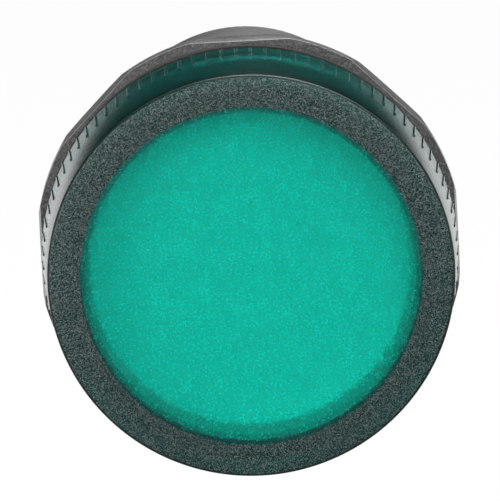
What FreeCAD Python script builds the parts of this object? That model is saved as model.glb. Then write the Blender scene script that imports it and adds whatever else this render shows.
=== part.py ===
import FreeCAD, Part
import math
import os
import re
import Sketcher

# Panel pilot light for a 22 mm panel hole, in millimetres.
# Its axis lies along Y: the green lens faces -Y, the terminals face +Y and +Z is up.
# The origin is on the axis, in the plane where the gasket meets the panel.

doc = FreeCAD.newDocument("PanelPilotLight")
sheet = doc.addObject("Spreadsheet::Sheet", "Sizes")

# Driving sizes: alias, millimetres or a count, and what it is.
SIZES = [
    ("barrel_radius", 10.95, "threaded barrel, over the thread; the other radii follow it"),
    ("running_gap", 0.05, "radial gap of every turning or sliding fit"),
    ("seat_gap", 0.1, "gap round pieces that are dropped into place"),
    ("overcut", 1.0, "how far a cutting shape reaches past the surface it cuts"),
    ("small_slope", 0.3, "soft edges of the small electronic parts"),
    ("head_overhang", 3.6, "lens rim over its ribs, outside the barrel"),
    ("skirt_flare", 0.44, "lens, how far its side flares from face to rim"),
    ("lens_wall", 1.36, "lens, wall at its rim under the ribs"),
    ("lens_depth", 8.7, "lens, from its face to its rear rim"),
    ("lens_plate", 1.5, "lens, thickness of the face plate"),
    ("lens_edge_round", 0.5, "lens, round between face and side"),
    ("rib_height", 0.14, "grip rib, how far it stands out"),
    ("rib_length", 3.0, "grip rib, along the axis"),
    ("rib_width", 0.3, "grip rib, along the rim"),
    ("rib_count", 90, "grip ribs round the rim"),
    ("cup_depth", 2.2, "diffuser, depth of its dish"),
    ("cup_floor", 0.8, "diffuser, thickness of its white disc"),
    ("cup_wall", 0.4, "diffuser, thickness of its wall at the lip"),
    ("cup_taper", 0.2, "diffuser, how far its dish narrows to the disc"),
    ("drum_wall", 1.2, "housing, wall of the drum under the lens"),
    ("lens_gap", 0.1, "gap from the lens rim to the housing flange"),
    ("seal_section", 0.88, "lens seal, sides of its section"),
    ("seal_chamfer", 0.22, "lens seal, chamfer of its four edges"),
    ("seal_setback", 2.4, "lens seal, its middle in front of the flange"),
    ("flange_inset", 0.55, "housing flange, how far inside the lens rim"),
    ("flange_thick", 1.25, "housing flange"),
    ("gasket_proud", 0.36, "panel gasket, how far it stands out from the flange"),
    ("gasket_thick", 1.25, "panel gasket"),
    ("gasket_chamfer", 0.25, "panel gasket, chamfer of its outer edges"),
    ("barrel_wall", 1.35, "threaded barrel, wall"),
    ("barrel_length", 13.5, "threaded barrel, behind the panel seat"),
    ("body_step", 0.55, "rear body, how far inside the barrel's outside"),
    ("body_wall", 1.6, "rear body, wall"),
    ("rear_length", 33.7, "from the panel seat to the rear end"),
    ("rear_chamfer", 0.4, "rear body, chamfer of its rear edge"),
    ("keyway_width", 3.0, "keyway along the underside of barrel and body"),
    ("keyway_depth", 0.8, "keyway, from the outside of the barrel"),
    ("washer_width", 2.05, "keyed washer, how far outside the barrel"),
    ("washer_thick", 0.5, "keyed washer"),
    ("nut_overhang", 3.96, "lock nut lobes, how far outside the barrel"),
    ("flat_depth", 0.43, "lock nut flange, a flat under the lobes at the front"),
    ("flat_draft", 6.6, "lock nut flange, slope of a flat in degrees"),
    ("nut_flange", 1.46, "lock nut flange, thickness"),
    ("nut_turned", 3.0, "lock nut, degrees its top is turned towards minus X"),
    ("nut_length", 5.5, "lock nut, whole length"),
    ("hub_width", 2.25, "lock nut hub, how far outside the barrel"),
    ("flute_radius", 1.1, "lock nut hub, finger flutes"),
    ("flute_sink", 0.55, "lock nut hub, depth of a finger flute"),
    ("flute_count", 16, "lock nut hub, finger flutes"),
    ("nut_chamfer", 0.2, "lock nut, edge chamfers"),
    ("lobe_count", 8, "lock nut flange, lobes and flats"),
    ("reflector_wall", 0.7, "reflector, wall"),
    ("reflector_ledge", 2.0, "reflector, how far its foot reaches in from the bore"),
    ("board_seat", 4.2, "led board, back face behind the panel seat"),
    ("board_thick", 1.2, "circuit boards"),
    ("chip_gap", 1.4, "leds, from the middle one to the ring, past the long side"),
    ("chip_gap_wide", 2.1, "leds, from the middle one to the ring, past the short side"),
    ("chip_high", 0.8, "led, height over the board"),
    ("chip_frame", 0.4, "led, case beside its round light window"),
    ("chip_lens_sink", 0.2, "led, depth of its light window"),
    ("chip_inset", 2.7, "leds, their ring inside the reflector's foot"),
    ("driver_side_gap", 0.73, "driver board, gap from its edges to the bore"),
    ("driver_drop", 2.4, "driver board, top face under the axis"),
    ("tongue_width", 6.0, "driver board, tongue through the led board"),
    ("socket_depth", 1.0, "driver board, depth of its slot in the block"),
    ("film_wide", 5.5, "film capacitor"),
    ("film_back", 4.8, "film capacitor, from the terminal block"),
    ("film_headroom", 4.0, "film capacitor, its top under the top of the bore"),
    ("film_round", 0.4, "film capacitor, edge round"),
    ("film_front", 3.0, "film capacitor, from the led board"),
    ("film_aside", 0.5, "film capacitor, left of the middle"),
    ("can_radius", 2.5, "smoothing capacitor"),
    ("can_front", 2.0, "smoothing capacitor, from the led board"),
    ("can_aside", 1.0, "smoothing capacitor, right of the middle"),
    ("crimp_depth", 0.25, "smoothing capacitor, crimp"),
    ("crimp_width", 1.0, "smoothing capacitor, crimp with its slopes"),
    ("crimp_back", 1.2, "smoothing capacitor, from the crimp to the end"),
    ("bridge_side", 4.2, "bridge rectifier, sides of its case"),
    ("bridge_high", 2.4, "bridge rectifier, height"),
    ("bridge_chamfer", 0.3, "bridge rectifier, chamfer of its top"),
    ("bridge_space", 1.0, "bridge rectifier, behind the smoothing capacitor"),
    ("bridge_back", 3.6, "bridge rectifier, from the terminal block"),
    ("bridge_margin", 1.5, "bridge rectifier, from the side edge of its board"),
    ("resistor_radius", 1.2, "resistors, thick ends"),
    ("resistor_waist", 1.02, "resistors, between the thick ends"),
    ("resistor_long", 6.4, "resistors, body"),
    ("resistor_end", 1.6, "resistors, length of a thick end"),
    ("resistor_front", 6.0, "resistors, from the led board"),
    ("resistor_space", 6.0, "between the two resistors"),
    ("lead_radius", 0.3, "resistors, leads"),
    ("lead_reach", 1.6, "resistors, lead beyond the body"),
    ("block_length", 9.7, "terminal block, along the axis"),
    ("block_floor", 3.2, "terminal block, floor under the pockets"),
    ("block_rim", 1.1, "housing wall round the terminal block"),
    ("bead_height", 0.2, "snap bead round the terminal block"),
    ("bead_length", 1.2, "snap bead round the terminal block"),
    ("bead_back", 5.4, "snap bead, its middle from the rear end"),
    ("barrier_half", 0.9, "terminal block, half of the middle barrier"),
    ("pocket_inset", 1.4, "terminal pocket, from the side of the housing round the block"),
    ("pocket_rise", 0.2, "terminal pocket, how much higher than wide"),
    ("wire_slot", 3.6, "wire notch, width"),
    ("strip_thick", 0.8, "contact strip"),
    ("tail_width", 3.0, "contact strip, tail on the driver board"),
    ("tail_reach", 3.0, "contact strip, tail in front of the block"),
    ("screw_radius", 1.45, "terminal screw, over its thread"),
    ("screw_reach", 3.7, "terminal screw, under its head"),
    ("well_gap", 0.2, "terminal block, gap round the screw"),
    ("well_end", 0.3, "terminal block, gap past the screw's tip"),
    ("head_inset", 0.3, "terminal screw, head inside the clamp plate's sides"),
    ("head_high", 1.8, "terminal screw, head"),
    ("head_chamfer", 0.4, "terminal screw, head edge"),
    ("driver_slot", 0.8, "terminal screw, slot width"),
    ("driver_slot_deep", 1.0, "terminal screw, slot depth"),
    ("clamp_play", 0.4, "clamp plate, from each side of its pocket"),
    ("clamp_thick", 1.0, "clamp plate, thickness"),
    ("clamp_chamfer", 0.25, "clamp plate, edge chamfer"),
]
NAMES = {alias for alias, number, note in SIZES}

for row, (alias, number, note) in enumerate(SIZES, start=1):
    sheet.set(f"A{row}", note)
    sheet.set(f"B{row}", str(number))
    sheet.setAlias(f"B{row}", alias)
doc.recompute()

# Radii and heights that pieces share, from the barrel outwards and inwards.
RIM_RADIUS = "(barrel_radius + head_overhang)"
RIB_FOOT = f"({RIM_RADIUS} - rib_height)"
FACE_RADIUS = f"({RIB_FOOT} - skirt_flare)"
LENS_BORE = f"({RIB_FOOT} - lens_wall)"
DRUM_RADIUS = f"({LENS_BORE} - running_gap)"
DRUM_BORE = f"({DRUM_RADIUS} - drum_wall)"
CUP_RADIUS = f"({DRUM_BORE} - seat_gap)"
FLANGE_RADIUS = f"({RIM_RADIUS} - flange_inset)"
BARREL_BORE = "(barrel_radius - barrel_wall)"
BODY_RADIUS = "(barrel_radius - body_step)"
BODY_BORE = f"({BODY_RADIUS} - body_wall)"
BLOCK_BORE = f"({BODY_RADIUS} - block_rim)"
THREAD_FIT = "(barrel_radius + running_gap)"
KEYWAY_FLOOR = "(barrel_radius - keyway_depth)"
LOBE_RADIUS = "(barrel_radius + nut_overhang)"
HUB_RADIUS = "(barrel_radius + hub_width)"
REFLECTOR_FOOT = f"({BARREL_BORE} - reflector_ledge)"
LED_RING = f"({REFLECTOR_FOOT} - chip_inset)"
CHIP_LONG = f"({LED_RING} - chip_gap)"
CHIP_WIDE = f"({LED_RING} - chip_gap_wide)"
BOARD_TOP = "(0 - driver_drop)"
BOARD_UNDER = "(0 - driver_drop - board_thick)"
DRIVER_HALF = f"(sqrt({BODY_BORE} ^ 2 - {BOARD_UNDER} ^ 2) - driver_side_gap)"
POCKET_WIDTH = f"({BLOCK_BORE} - barrier_half - pocket_inset)"
POCKET_HEIGHT = f"({POCKET_WIDTH} + pocket_rise)"
TERMINAL_X = f"(barrier_half + {POCKET_WIDTH} / 2)"
CLAMP_HALF = f"({POCKET_WIDTH} / 2 - clamp_play)"
HEAD_RADIUS = f"({CLAMP_HALF} - head_inset)"

# Planes across the axis, as sums of the sizes. Minus is towards the lens.
FLANGE_FRONT = "(0 - gasket_thick - flange_thick)"
RIM_BACK = f"({FLANGE_FRONT} - lens_gap)"
LENS_FACE = f"({RIM_BACK} - lens_depth)"
PLATE_BACK = f"({LENS_FACE} + lens_plate)"
DRUM_FRONT = f"({PLATE_BACK} + seat_gap)"
CUP_FRONT = f"({PLATE_BACK} + running_gap)"
CUP_BACK = f"({CUP_FRONT} + cup_depth + cup_floor)"
REFLECTOR_FRONT = f"({CUP_BACK} + seat_gap)"
BOARD_FRONT = "(board_seat - board_thick)"
BLOCK_FRONT = "(rear_length - block_length)"
POCKET_FLOOR = f"({BLOCK_FRONT} + block_floor)"
STRIP_BACK = f"({POCKET_FLOOR} + strip_thick)"
FILM_LONG = f"({BLOCK_FRONT} - film_back - film_front - board_seat)"
FILM_HIGH = f"({BODY_BORE} - film_headroom - {BOARD_TOP})"
BRIDGE_FRONT = f"({BLOCK_FRONT} - bridge_back - bridge_side)"
CAN_LONG = f"({BRIDGE_FRONT} - bridge_space - can_front - board_seat)"
CLAMP_BACK = f"({STRIP_BACK} + clamp_thick)"


def bound(text):
    """A sum of sizes, with each name read from the sheet."""
    return re.sub(r"[a-z_]+", lambda found: named(found.group(0)), text)


def named(word):
    return f"Sizes.{word}" if word in NAMES else word


def value(text):
    """What a sum of sizes comes to now."""
    return float(sheet.evalExpression(bound(text)))


def bind(thing, **sums):
    """Binds properties to sums of sizes. Two underscores stand for a dot."""
    for name, text in sums.items():
        thing.setExpression(name.replace("__", "."), bound(text))


def new_body(label):
    body = doc.addObject("PartDesign::Body", label)
    body.Label = label
    return body


def origin(body, role):
    """The body's own origin plane or axis, such as XY_Plane or Y_Axis."""
    return next(item for item in body.Origin.OriginFeatures if item.Role == role)


def add_sketch(body, name, role):
    sketch = body.newObject("Sketcher::SketchObject", name)
    sketch.AttachmentSupport = [(origin(body, role), "")]
    sketch.MapMode = "FlatFace"
    return sketch


def draw_outline(sketch, points):
    """A closed outline of straight lines, each corner bound to two sums of sizes."""
    corners = [FreeCAD.Vector(value(x), value(y), 0) for x, y in points]
    count = len(corners)
    for number in range(count):
        line = Part.LineSegment(corners[number], corners[(number + 1) % count])
        sketch.addGeometry(line, False)
    for number in range(count):
        sketch.addConstraint(
            Sketcher.Constraint("Coincident", number, 2, (number + 1) % count, 1)
        )
    for number, (x, y) in enumerate(points):
        pin_coordinate(sketch, "DistanceX", number, x, corners[number].x)
        pin_coordinate(sketch, "DistanceY", number, y, corners[number].y)


def pin_coordinate(sketch, direction, number, text, length):
    """Ties the start of one line to the sketch's origin along one direction."""
    index = sketch.addConstraint(
        Sketcher.Constraint(direction, -1, 1, number, 1, length)
    )
    sketch.setExpression(f"Constraints[{index}]", bound(text))


def turned(label, points):
    """A body turned about Y from an outline of radius and place along the axis."""
    body = new_body(label)
    sketch = add_sketch(body, f"{label}_outline", "XY_Plane")
    draw_outline(sketch, points)
    turn = body.newObject("PartDesign::Revolution", f"{label}_turn")
    turn.Profile = sketch
    turn.ReferenceAxis = (origin(body, "Y_Axis"), [""])
    turn.Angle = 360
    sketch.Visibility = False
    doc.recompute()
    return body


def check_cut(body, before, name):
    if body.Shape.Volume >= before:
        raise RuntimeError(f"{name} takes nothing away")


def block_feature(body, kind, name, corner, sides):
    """A box that is added to a body or cut from it, from its lowest corner."""
    piece = body.newObject(f"PartDesign::{kind}Box", name)
    piece.AttachmentSupport = [(origin(body, "XY_Plane"), "")]
    piece.MapMode = "FlatFace"
    bind(piece, Length=sides[0], Width=sides[1], Height=sides[2])
    bind(
        piece,
        AttachmentOffset__Base__x=corner[0],
        AttachmentOffset__Base__y=corner[1],
        AttachmentOffset__Base__z=corner[2],
    )
    doc.recompute()
    return piece


def rod_feature(body, kind, name, start, radius, length):
    """A cylinder along Y that is added to a body or cut from it."""
    piece = body.newObject(f"PartDesign::{kind}Cylinder", name)
    piece.AttachmentSupport = [(origin(body, "XY_Plane"), "")]
    piece.MapMode = "FlatFace"
    along_y = FreeCAD.Rotation(FreeCAD.Vector(1, 0, 0), -90)
    piece.AttachmentOffset = FreeCAD.Placement(FreeCAD.Vector(), along_y)
    bind(piece, Radius=radius, Height=length)
    bind(
        piece,
        AttachmentOffset__Base__x=start[0],
        AttachmentOffset__Base__y=start[1],
        AttachmentOffset__Base__z=start[2],
    )
    doc.recompute()
    return piece


def ring_of(body, name, features, count):
    """Repeats features evenly round the body's Y axis."""
    pattern = body.newObject("PartDesign::PolarPattern", name)
    pattern.Originals = features
    pattern.Axis = (origin(body, "Y_Axis"), [""])
    pattern.Angle = 360
    bind(pattern, Occurrences=count)
    body.Tip = pattern
    doc.recompute()


def edges_where(shape, test):
    """Names of the edges whose middle point and length pass a test."""
    names = []
    for number, edge in enumerate(shape.Edges, start=1):
        middle = edge.valueAt((edge.FirstParameter + edge.LastParameter) / 2)
        if test(edge, middle):
            names.append(f"Edge{number}")
    return names


def finish_edges(body, kind, name, size, test):
    """A PartDesign fillet or chamfer on the edges that pass a test."""
    base = body.Tip
    finish = body.newObject(f"PartDesign::{kind}", name)
    finish.Base = (base, edges_where(base.Shape, test))
    bind(finish, **{"Radius" if kind == "Fillet" else "Size": size})
    doc.recompute()


def near(one, other):
    return abs(one - other) < 1e-4


def from_axis(point):
    return math.hypot(point.x, point.z)


def place(thing, x="0", y="0", z="0"):
    """Puts a sub-part where it belongs in the whole."""
    bind(
        thing,
        Placement__Base__x=x,
        Placement__Base__y=y,
        Placement__Base__z=z,
    )


def make_lens_cap():
    """Moulded translucent cap: flat face, flaring skirt, and grip ribs at the rim."""
    body = turned("lens_cap", [
        ("0", "0"),
        (FACE_RADIUS, "0"),
        (RIB_FOOT, "lens_depth - rib_length"),
        (RIB_FOOT, "lens_depth"),
        (LENS_BORE, "lens_depth"),
        (LENS_BORE, "lens_plate"),
        ("0", "lens_plate"),
    ])
    reach = value(FACE_RADIUS)
    finish_edges(body, "Fillet", "lens_face_edge", "lens_edge_round",
                 lambda edge, middle: near(middle.y, 0) and near(from_axis(middle), reach))
    root = f"({RIB_FOOT} - rib_height)"
    rib = block_feature(body, "Additive", "grip_rib",
                        ("0 - rib_width / 2", "lens_depth - rib_length", root),
                        ("rib_width", "rib_length", f"{RIM_RADIUS} - {root}"))
    ring_of(body, "grip_ribs", [rib], "rib_count")
    place(body, y=LENS_FACE)
    return body


def make_diffuser():
    """White dish that spreads the light and comes off with the lens."""
    lip = f"({CUP_RADIUS} - cup_wall)"
    body = turned("diffuser", [
        ("0", "cup_depth"),
        (f"{lip} - cup_taper", "cup_depth"),
        (lip, "0"),
        (CUP_RADIUS, "0"),
        (CUP_RADIUS, "cup_depth + cup_floor"),
        ("0", "cup_depth + cup_floor"),
    ])
    place(body, y=CUP_FRONT)
    return body


def make_housing():
    """One moulding: drum, flange, threaded barrel and rear body, open at both ends."""
    def along(text):
        return f"({text} - {DRUM_FRONT})"

    groove_half = "(seal_section / 2 + seat_gap / 2)"
    seal_middle = f"({FLANGE_FRONT} - seal_setback)"
    seal_front = along(f"{seal_middle} - {groove_half}")
    seal_back = along(f"{seal_middle} + {groove_half}")
    seal_floor = f"({DRUM_RADIUS} - seal_section - running_gap)"
    bead_bore = f"({BLOCK_BORE} + bead_height)"
    bead_front = along("rear_length - bead_back - bead_length / 2")
    bead_back = along("rear_length - bead_back + bead_length / 2")
    body = turned("housing", [
        (DRUM_BORE, "0"),
        (DRUM_RADIUS, "0"),
        (DRUM_RADIUS, seal_front),
        (seal_floor, seal_front),
        (seal_floor, seal_back),
        (DRUM_RADIUS, seal_back),
        (DRUM_RADIUS, along(FLANGE_FRONT)),
        (FLANGE_RADIUS, along(FLANGE_FRONT)),
        (FLANGE_RADIUS, along("0 - gasket_thick")),
        ("barrel_radius", along("0 - gasket_thick")),
        ("barrel_radius", along("barrel_length")),
        (BODY_RADIUS, along("barrel_length")),
        (BODY_RADIUS, along("rear_length - rear_chamfer")),
        (f"{BODY_RADIUS} - rear_chamfer", along("rear_length")),
        (BLOCK_BORE, along("rear_length")),
        (BLOCK_BORE, bead_back),
        (bead_bore, bead_back),
        (bead_bore, bead_front),
        (BLOCK_BORE, bead_front),
        (BLOCK_BORE, along(BLOCK_FRONT)),
        (BODY_BORE, along(BLOCK_FRONT)),
        (BODY_BORE, along("board_seat")),
        (BARREL_BORE, along("board_seat")),
        (BARREL_BORE, along(FLANGE_FRONT)),
        (DRUM_BORE, along(FLANGE_FRONT)),
    ])
    before = body.Shape.Volume
    sketch = add_sketch(body, "keyway_outline", "YZ_Plane")
    draw_outline(sketch, [
        (along("0 - gasket_thick"), f"0 - {KEYWAY_FLOOR}"),
        (along("rear_length + overcut"), f"0 - {KEYWAY_FLOOR}"),
        (along("rear_length + overcut"), "0 - barrel_radius - overcut"),
        (along("0 - gasket_thick"), "0 - barrel_radius - overcut"),
    ])
    keyway = body.newObject("PartDesign::Pocket", "keyway")
    keyway.Profile = sketch
    keyway.Midplane = True
    bind(keyway, Length="keyway_width")
    doc.recompute()
    check_cut(body, before, "keyway")
    before = body.Shape.Volume
    block_feature(body, "Subtractive", "wire_notches",
                  (f"0 - {BODY_RADIUS}", along(STRIP_BACK), "0 - wire_slot / 2"),
                  (f"2 * {BODY_RADIUS}", f"rear_length - {STRIP_BACK} + overcut",
                   "wire_slot"))
    check_cut(body, before, "wire_notches")
    place(body, y=DRUM_FRONT)
    return body


def make_lens_seal():
    """Rubber ring in the drum's groove, which the lens screws down over."""
    inside = f"({DRUM_RADIUS} - seal_section)"
    cut = "seal_chamfer"
    body = turned("lens_seal", [
        (f"{inside} + {cut}", "0"),
        (f"{DRUM_RADIUS} - {cut}", "0"),
        (DRUM_RADIUS, cut),
        (DRUM_RADIUS, f"seal_section - {cut}"),
        (f"{DRUM_RADIUS} - {cut}", "seal_section"),
        (f"{inside} + {cut}", "seal_section"),
        (inside, f"seal_section - {cut}"),
        (inside, cut),
    ])
    place(body, y=f"{FLANGE_FRONT} - seal_setback - seal_section / 2")
    return body


def make_panel_gasket():
    """Flat rubber ring between the flange and the panel."""
    reach = f"({FLANGE_RADIUS} + gasket_proud)"
    body = turned("panel_gasket", [
        (THREAD_FIT, "0"),
        (f"{reach} - gasket_chamfer", "0"),
        (reach, "gasket_chamfer"),
        (reach, "gasket_thick - gasket_chamfer"),
        (f"{reach} - gasket_chamfer", "gasket_thick"),
        (THREAD_FIT, "gasket_thick"),
    ])
    place(body, y="0 - gasket_thick")
    return body


def make_thrust_washer():
    """Flat washer whose tab runs in the keyway, so that the nut can't turn the light."""
    tab_foot = f"({KEYWAY_FLOOR} + seat_gap)"
    tab_head = "(barrel_radius + washer_width / 2)"
    body = turned("thrust_washer", [
        (THREAD_FIT, "0"),
        ("barrel_radius + washer_width", "0"),
        ("barrel_radius + washer_width", "washer_thick"),
        (THREAD_FIT, "washer_thick"),
    ])
    block_feature(body, "Additive", "washer_tab",
                  ("seat_gap - keyway_width / 2", "0", f"0 - {tab_head}"),
                  ("keyway_width - 2 * seat_gap", "washer_thick", f"{tab_head} - {tab_foot}"))
    return body


def make_lock_nut():
    """Moulded nut: a thin flange with eight lobes, and a fluted hub behind it."""
    body = turned("lock_nut", [
        (THREAD_FIT, "0"),
        (LOBE_RADIUS, "0"),
        (LOBE_RADIUS, "nut_flange - nut_chamfer"),
        (f"{LOBE_RADIUS} - nut_chamfer", "nut_flange"),
        (HUB_RADIUS, "nut_flange"),
        (HUB_RADIUS, "nut_length - nut_chamfer"),
        (f"{HUB_RADIUS} - nut_chamfer", "nut_length"),
        (THREAD_FIT, "nut_length"),
    ])
    before = body.Shape.Volume
    sketch = add_sketch(body, "flat_outline", "YZ_Plane")
    draw_outline(sketch, [
        ("0 - nut_flange", f"{LOBE_RADIUS} - flat_depth - nut_flange * tan(flat_draft)"),
        ("2 * nut_flange", f"{LOBE_RADIUS} - flat_depth + 2 * nut_flange * tan(flat_draft)"),
        ("2 * nut_flange", f"{LOBE_RADIUS} + overcut"),
        ("0 - nut_flange", f"{LOBE_RADIUS} + overcut"),
    ])
    flat = body.newObject("PartDesign::Pocket", "flat")
    flat.Profile = sketch
    flat.Midplane = True
    bind(flat, Length=LOBE_RADIUS)
    ring_of(body, "flats", [flat], "lobe_count")
    check_cut(body, before, "flats")
    before = body.Shape.Volume
    flute = rod_feature(body, "Subtractive", "flute",
                        ("0", "nut_flange", f"{HUB_RADIUS} + flute_radius - flute_sink"),
                        "flute_radius", "nut_length")
    ring_of(body, "flutes", [flute], "flute_count")
    check_cut(body, before, "flutes")
    lean = FreeCAD.Rotation(FreeCAD.Vector(0, -1, 0), value("nut_turned"))
    body.Placement = FreeCAD.Placement(FreeCAD.Vector(), lean)
    bind(body, Placement__Rotation__Angle="nut_turned")
    place(body, y="washer_thick")
    return body


def make_reflector():
    """White cone that gathers the light, standing on the led board."""
    length = f"({BOARD_FRONT} - {REFLECTOR_FRONT})"
    step = f"({FLANGE_FRONT} - {REFLECTOR_FRONT})"
    waist = f"({BARREL_BORE} - seat_gap)"
    body = turned("reflector", [
        (f"{CUP_RADIUS} - reflector_wall", "0"),
        (CUP_RADIUS, "0"),
        (CUP_RADIUS, "reflector_wall"),
        (waist, step),
        (waist, length),
        (REFLECTOR_FOOT, length),
        (f"{waist} - reflector_wall", step),
    ])
    place(body, y=REFLECTOR_FRONT)
    return body


def make_led_board():
    """Round board on the ledge in the barrel, with a slot for the driver's tongue."""
    body = turned("led_board", [
        ("0", "0"),
        (f"{BARREL_BORE} - seat_gap", "0"),
        (f"{BARREL_BORE} - seat_gap", "board_thick"),
        ("0", "board_thick"),
    ])
    before = body.Shape.Volume
    block_feature(body, "Subtractive", "tongue_slot",
                  ("0 - tongue_width / 2 - seat_gap", "0 - overcut", f"{BOARD_UNDER} - seat_gap"),
                  ("tongue_width + 2 * seat_gap", "board_thick + 2 * overcut",
                   "board_thick + 2 * seat_gap"))
    check_cut(body, before, "tongue_slot")
    place(body, y=BOARD_FRONT)
    return body


def make_led(label, x, z):
    """One surface led: a square case with a shallow round window."""
    body = new_body(label)
    block_feature(body, "Additive", f"{label}_case",
                  (f"0 - {CHIP_LONG} / 2", "0", f"0 - {CHIP_WIDE} / 2"),
                  (CHIP_LONG, "chip_high", CHIP_WIDE))
    rod_feature(body, "Subtractive", f"{label}_window",
                ("0", "chip_lens_sink - chip_high", "0"),
                f"{CHIP_WIDE} / 2 - chip_frame", "chip_high")
    place(body, x=x, y=f"{BOARD_FRONT} - chip_high", z=z)
    return body


def make_leds():
    """Seven leds on the led board: one in the middle and six round it."""
    leds = [make_led("led_middle", "0", "0")]
    for number in range(6):
        angle = 30 + 60 * number
        leds.append(make_led(f"led_{number + 1}",
                             f"{LED_RING} * cos({angle})",
                             f"{LED_RING} * sin({angle})"))
    return leds


def make_driver_board():
    """Board along the axis, from its tongue in the led board to the terminal block."""
    length = f"({BLOCK_FRONT} + socket_depth - board_seat)"
    body = new_body("driver_board")
    block_feature(body, "Additive", "driver_plate",
                  (f"0 - {DRIVER_HALF}", "0", "0"),
                  (f"2 * {DRIVER_HALF}", length, "board_thick"))
    block_feature(body, "Additive", "driver_tongue",
                  ("0 - tongue_width / 2", "0 - board_thick", "0"),
                  ("tongue_width", "board_thick", "board_thick"))
    place(body, y="board_seat", z=BOARD_UNDER)
    return body


def make_film_capacitor():
    """Boxed film capacitor that drops the mains voltage."""
    case = doc.addObject("Part::Box", "film_case")
    bind(case, Length="film_wide", Width=FILM_LONG, Height=FILM_HIGH)
    rounded = doc.addObject("Part::Fillet", "dropper_capacitor")
    rounded.Label = "dropper_capacitor"
    rounded.Base = case
    radius = value("film_round")
    doc.recompute()
    rounded.Edges = [(number, radius, radius) for number in range(1, 13)]
    place(rounded, x="0 - film_wide - film_aside", y="board_seat + film_front", z=BOARD_TOP)
    return rounded


def make_can_capacitor():
    """Small can capacitor lying on the driver board, with its crimped groove."""
    crimp = "(can_radius - crimp_depth)"
    crimp_end = f"({CAN_LONG} - crimp_back)"
    body = turned("smoothing_capacitor", [
        ("0", "0"),
        ("can_radius - small_slope", "0"),
        ("can_radius", "small_slope"),
        ("can_radius", f"{crimp_end} - crimp_width"),
        (crimp, f"{crimp_end} - crimp_width + small_slope"),
        (crimp, f"{crimp_end} - small_slope"),
        ("can_radius", crimp_end),
        ("can_radius", CAN_LONG),
        ("0", CAN_LONG),
    ])
    place(body, x="can_radius + can_aside", y="board_seat + can_front",
          z=f"{BOARD_TOP} + can_radius")
    return body


def make_bridge_rectifier():
    """Bridge rectifier: a moulded case with a chamfered top."""
    body = new_body("bridge_rectifier")
    block_feature(body, "Additive", "bridge_case", ("0", "0", "0"),
                  ("bridge_side", "bridge_side", "bridge_high"))
    top = value("bridge_high")
    finish_edges(body, "Chamfer", "bridge_top", "bridge_chamfer",
                 lambda edge, middle: near(middle.z, top))
    place(body, x=f"{DRIVER_HALF} - bridge_side - bridge_margin", y=BRIDGE_FRONT, z=BOARD_TOP)
    return body


def make_resistor(label, x):
    """Axial resistor under the driver board: a waisted body and two bent leads."""
    radius = value("resistor_radius")
    waist = value("resistor_waist")
    long = value("resistor_long")
    thick_end = value("resistor_end")
    slope = value("small_slope")
    wire = value("lead_radius")
    reach = value("lead_reach")
    outline = Part.makePolygon([
        FreeCAD.Vector(0, 0, 0),
        FreeCAD.Vector(waist, 0, 0),
        FreeCAD.Vector(radius, slope, 0),
        FreeCAD.Vector(radius, thick_end, 0),
        FreeCAD.Vector(waist, thick_end + slope, 0),
        FreeCAD.Vector(waist, long - thick_end - slope, 0),
        FreeCAD.Vector(radius, long - thick_end, 0),
        FreeCAD.Vector(radius, long - slope, 0),
        FreeCAD.Vector(waist, long, 0),
        FreeCAD.Vector(0, long, 0),
        FreeCAD.Vector(0, 0, 0),
    ])
    axis_point = FreeCAD.Vector(0, 0, 0)
    axis = FreeCAD.Vector(0, 1, 0)
    shape = Part.Face(outline).revolve(axis_point, axis, 360)
    for end, outward in ((0, -1), (long, 1)):
        inside = FreeCAD.Vector(0, end - outward * wire, 0)
        bend = FreeCAD.Vector(0, end + outward * (reach - wire), 0)
        level = Part.makeCylinder(wire, reach, inside, axis * outward)
        upright = Part.makeCylinder(wire, radius, bend, FreeCAD.Vector(0, 0, 1))
        corner = Part.makeSphere(wire, bend)
        shape = shape.fuse([level, corner, upright])
    resistor = doc.addObject("Part::Feature", label)
    resistor.Label = label
    resistor.Shape = shape.removeSplitter()
    place(resistor, x=x, y="board_seat + resistor_front",
          z=f"{BOARD_UNDER} - resistor_radius")
    return resistor


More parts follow.
